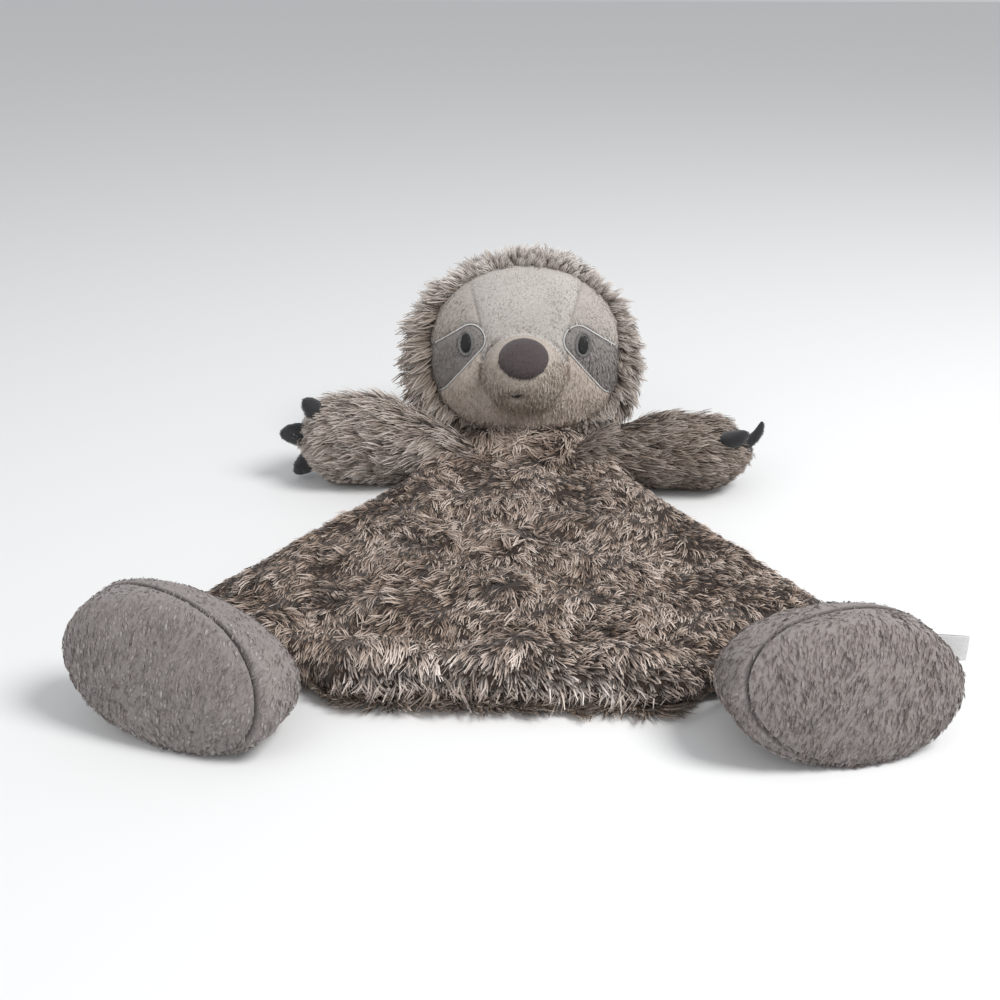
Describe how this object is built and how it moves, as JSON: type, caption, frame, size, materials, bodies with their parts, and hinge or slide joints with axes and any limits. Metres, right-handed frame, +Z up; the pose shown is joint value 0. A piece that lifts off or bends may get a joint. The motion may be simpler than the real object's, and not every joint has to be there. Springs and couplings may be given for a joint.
{
  "type": "security blanket lovey",
  "caption": "Plush sloth lovey lying flat: a furry blanket body with a stuffed head, clawed arms and big soft feet that bend at their seams.",
  "frame": {"origin": "on the ground under the middle of the blanket, half-way between the hem and the neck seam", "axes": "+Z up from the back of the lying lovey, -Y the way the face and the soles look, +X the viewer's right"},
  "size_m": [0.3576, 0.3548, 0.1163],
  "materials": {
    "long_pile": "long combed pile",
    "under_pile": "long combed pile, shaded",
    "pale_plush": "short plush",
    "cheek_plush": "short plush",
    "brow_plush": "short plush",
    "patch_plush": "short plush",
    "satin_thread": "satin stitch",
    "ring_thread": "satin stitch",
    "dark_thread": "satin stitch",
    "nose_stitching": "short plush",
    "claw_plush": "short dark plush",
    "foot_plush": "short plush",
    "filling": "loose fibre",
    "label": "woven satin"
  },
  "bodies": {
    "blanket": {"blanket_front_panel": "long_pile", "blanket_back_panel": "under_pile"},
    "head": {"head_hood": "long_pile", "forehead_gusset": "pale_plush", "lower_face": "cheek_plush", "muzzle": "pale_plush", "nose": "nose_stitching", "mouth_stitch": "dark_thread", "head_filling": "filling", "muzzle_filling": "filling", "left_brow": "brow_plush", "left_eye_patch": "patch_plush", "left_eye_edging": "satin_thread", "left_eye_ring": "ring_thread", "left_pupil": "dark_thread", "right_brow": "brow_plush", "right_eye_patch": "patch_plush", "right_eye_edging": "satin_thread", "right_eye_ring": "ring_thread", "right_pupil": "dark_thread"},
    "left_arm": {"left_arm_cover": "long_pile", "left_arm_filling": "filling"},
    "right_arm": {"right_arm_cover": "long_pile", "right_arm_filling": "filling"},
    "left_foot": {"left_foot_upper": "foot_plush", "left_sole": "foot_plush", "left_foot_filling": "filling"},
    "right_foot": {"right_foot_upper": "foot_plush", "right_sole": "foot_plush", "right_foot_filling": "filling", "care_label": "label"},
    "left_first_claw": {"left_first_claw": "claw_plush"},
    "left_middle_claw": {"left_middle_claw": "claw_plush"},
    "left_last_claw": {"left_last_claw": "claw_plush"},
    "right_first_claw": {"right_first_claw": "claw_plush"},
    "right_middle_claw": {"right_middle_claw": "claw_plush"},
    "right_last_claw": {"right_last_claw": "claw_plush"}
  },
  "joints": [
    {"name": "neck", "type": "hinge", "parent": "blanket", "child": "head", "pos_m": [0, 0.1265, 0.01], "axis": [1, 0, 0], "range_deg": [-75, 20]},
    {"name": "left_shoulder", "type": "hinge", "parent": "blanket", "child": "left_arm", "pos_m": [-0.051, 0.1055, 0.01], "axis": [0, 1, 0], "range_deg": [-20, 45]},
    {"name": "right_shoulder", "type": "hinge", "parent": "blanket", "child": "right_arm", "pos_m": [0.051, 0.1055, 0.01], "axis": [0, -1, 0], "range_deg": [-20, 45]},
    {"name": "left_ankle", "type": "hinge", "parent": "blanket", "child": "left_foot", "pos_m": [-0.117, -0.0955, 0.01], "axis": [-0.9659, 0.2588, 0], "range_deg": [-30, 35]},
    {"name": "right_ankle", "type": "hinge", "parent": "blanket", "child": "right_foot", "pos_m": [0.117, -0.0955, 0.01], "axis": [-0.9659, -0.2588, 0], "range_deg": [-30, 35]},
    {"name": "left_first_claw_bend", "type": "hinge", "parent": "left_arm", "child": "left_first_claw", "pos_m": [-0.11912, 0.10855, 0.01083], "axis": [-0.5446, -0.2171, 0.8101], "range_deg": [-20, 20], "stiffness_Nm_per_rad": 0.0005},
    {"name": "left_middle_claw_bend", "type": "hinge", "parent": "left_arm", "child": "left_middle_claw", "pos_m": [-0.1223, 0.10434, 0.02654], "axis": [0.2079, -0.2532, 0.9448], "range_deg": [-20, 20], "stiffness_Nm_per_rad": 0.0005},
    {"name": "left_last_claw_bend", "type": "hinge", "parent": "left_arm", "child": "left_last_claw", "pos_m": [-0.11242, 0.10081, 0.0397], "axis": [0.8387, -0.141, 0.5261], "range_deg": [-20, 20], "stiffness_Nm_per_rad": 0.0005},
    {"name": "right_first_claw_bend", "type": "hinge", "parent": "right_arm", "child": "right_first_claw", "pos_m": [0.11308, 0.09206, 0.03161], "axis": [0.8191, 0.4698, -0.329], "range_deg": [-20, 20], "stiffness_Nm_per_rad": 0.0005},
    {"name": "right_middle_claw_bend", "type": "hinge", "parent": "right_arm", "child": "right_middle_claw", "pos_m": [0.12245, 0.10265, 0.0242], "axis": [0.1736, 0.8067, -0.5649], "range_deg": [-20, 20], "stiffness_Nm_per_rad": 0.0005},
    {"name": "right_last_claw_bend", "type": "hinge", "parent": "right_arm", "child": "right_last_claw", "pos_m": [0.11868, 0.11491, 0.01561], "axis": [-0.5736, 0.671, -0.4698], "range_deg": [-20, 20], "stiffness_Nm_per_rad": 0.0005}
  ]
}
